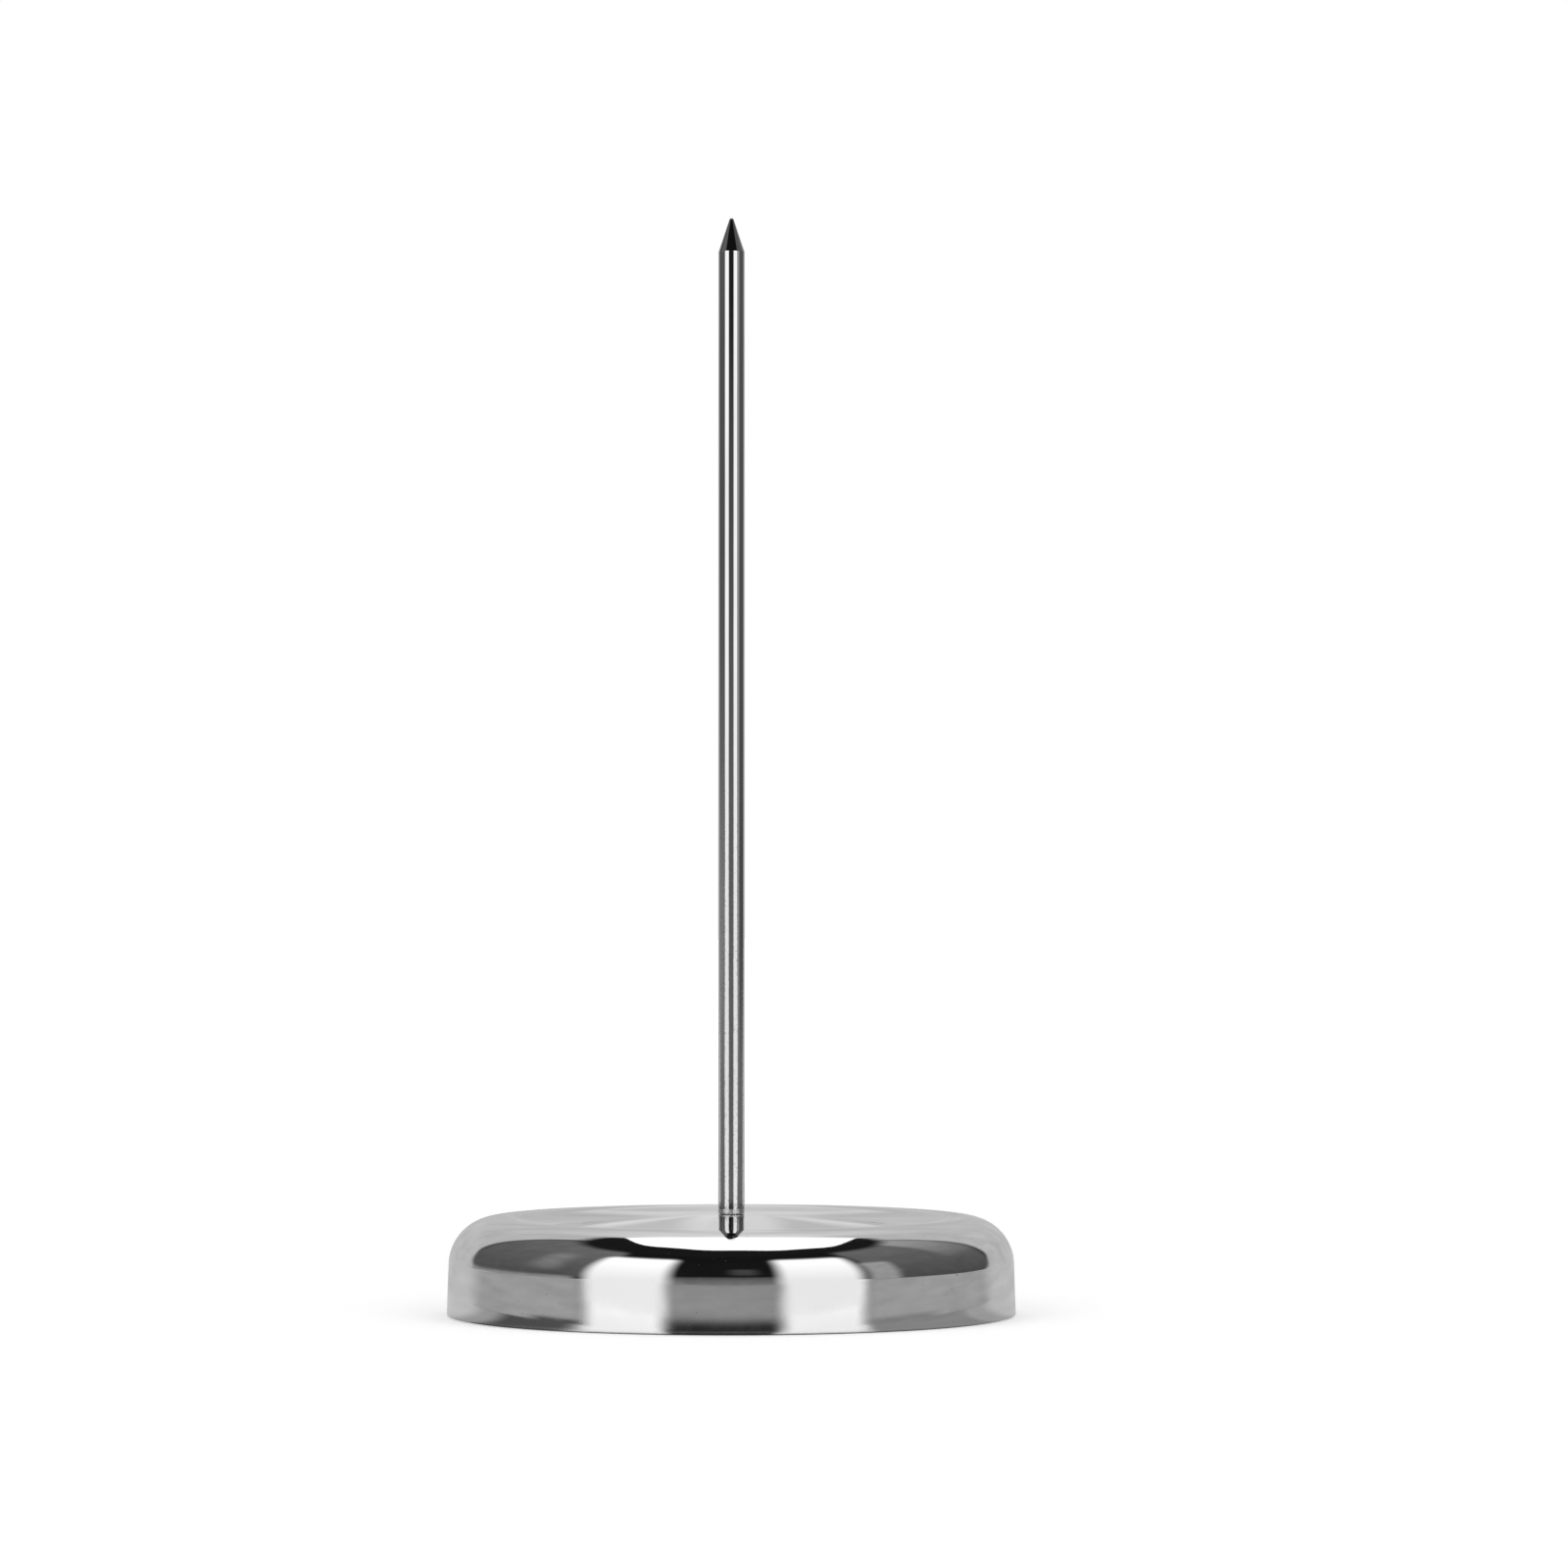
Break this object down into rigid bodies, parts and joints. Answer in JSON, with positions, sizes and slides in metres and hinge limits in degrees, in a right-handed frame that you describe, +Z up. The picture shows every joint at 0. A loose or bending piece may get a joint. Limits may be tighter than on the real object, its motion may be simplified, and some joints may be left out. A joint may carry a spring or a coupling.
{
  "type": "bill spike",
  "caption": "Desk bill spike: a polished pointed rod standing on a round, weighted base with a pressed mirror-bright cover and a rubber underside.",
  "frame": {"origin": "on the rod's axis, in the plane that the base stands on", "axes": "+Z up the spike, towards its point; the part is round about Z, so X and Y are free"},
  "size_m": [0.075, 0.075, 0.145],
  "materials": {
    "polished_rod_steel": "drawn and polished rod, bright, with fine lengthwise marks and pits; ground point",
    "mirror_pressed_steel": "mirror polish with a few fine scratches",
    "plain_ballast_steel": "plain rolled plate, oiled",
    "zinc_plated_steel": "bright zinc plate",
    "dark_spring_steel": "dark hardened spring steel",
    "black_rubber": "matt moulded rubber"
  },
  "bodies": {
    "root": {"spike": "polished_rod_steel", "base_shell": "mirror_pressed_steel", "weight_disc": "plain_ballast_steel", "plain_washer": "zinc_plated_steel", "spring_washer": "dark_spring_steel", "hex_nut": "zinc_plated_steel", "rubber_base": "black_rubber"}
  },
  "joints": []
}
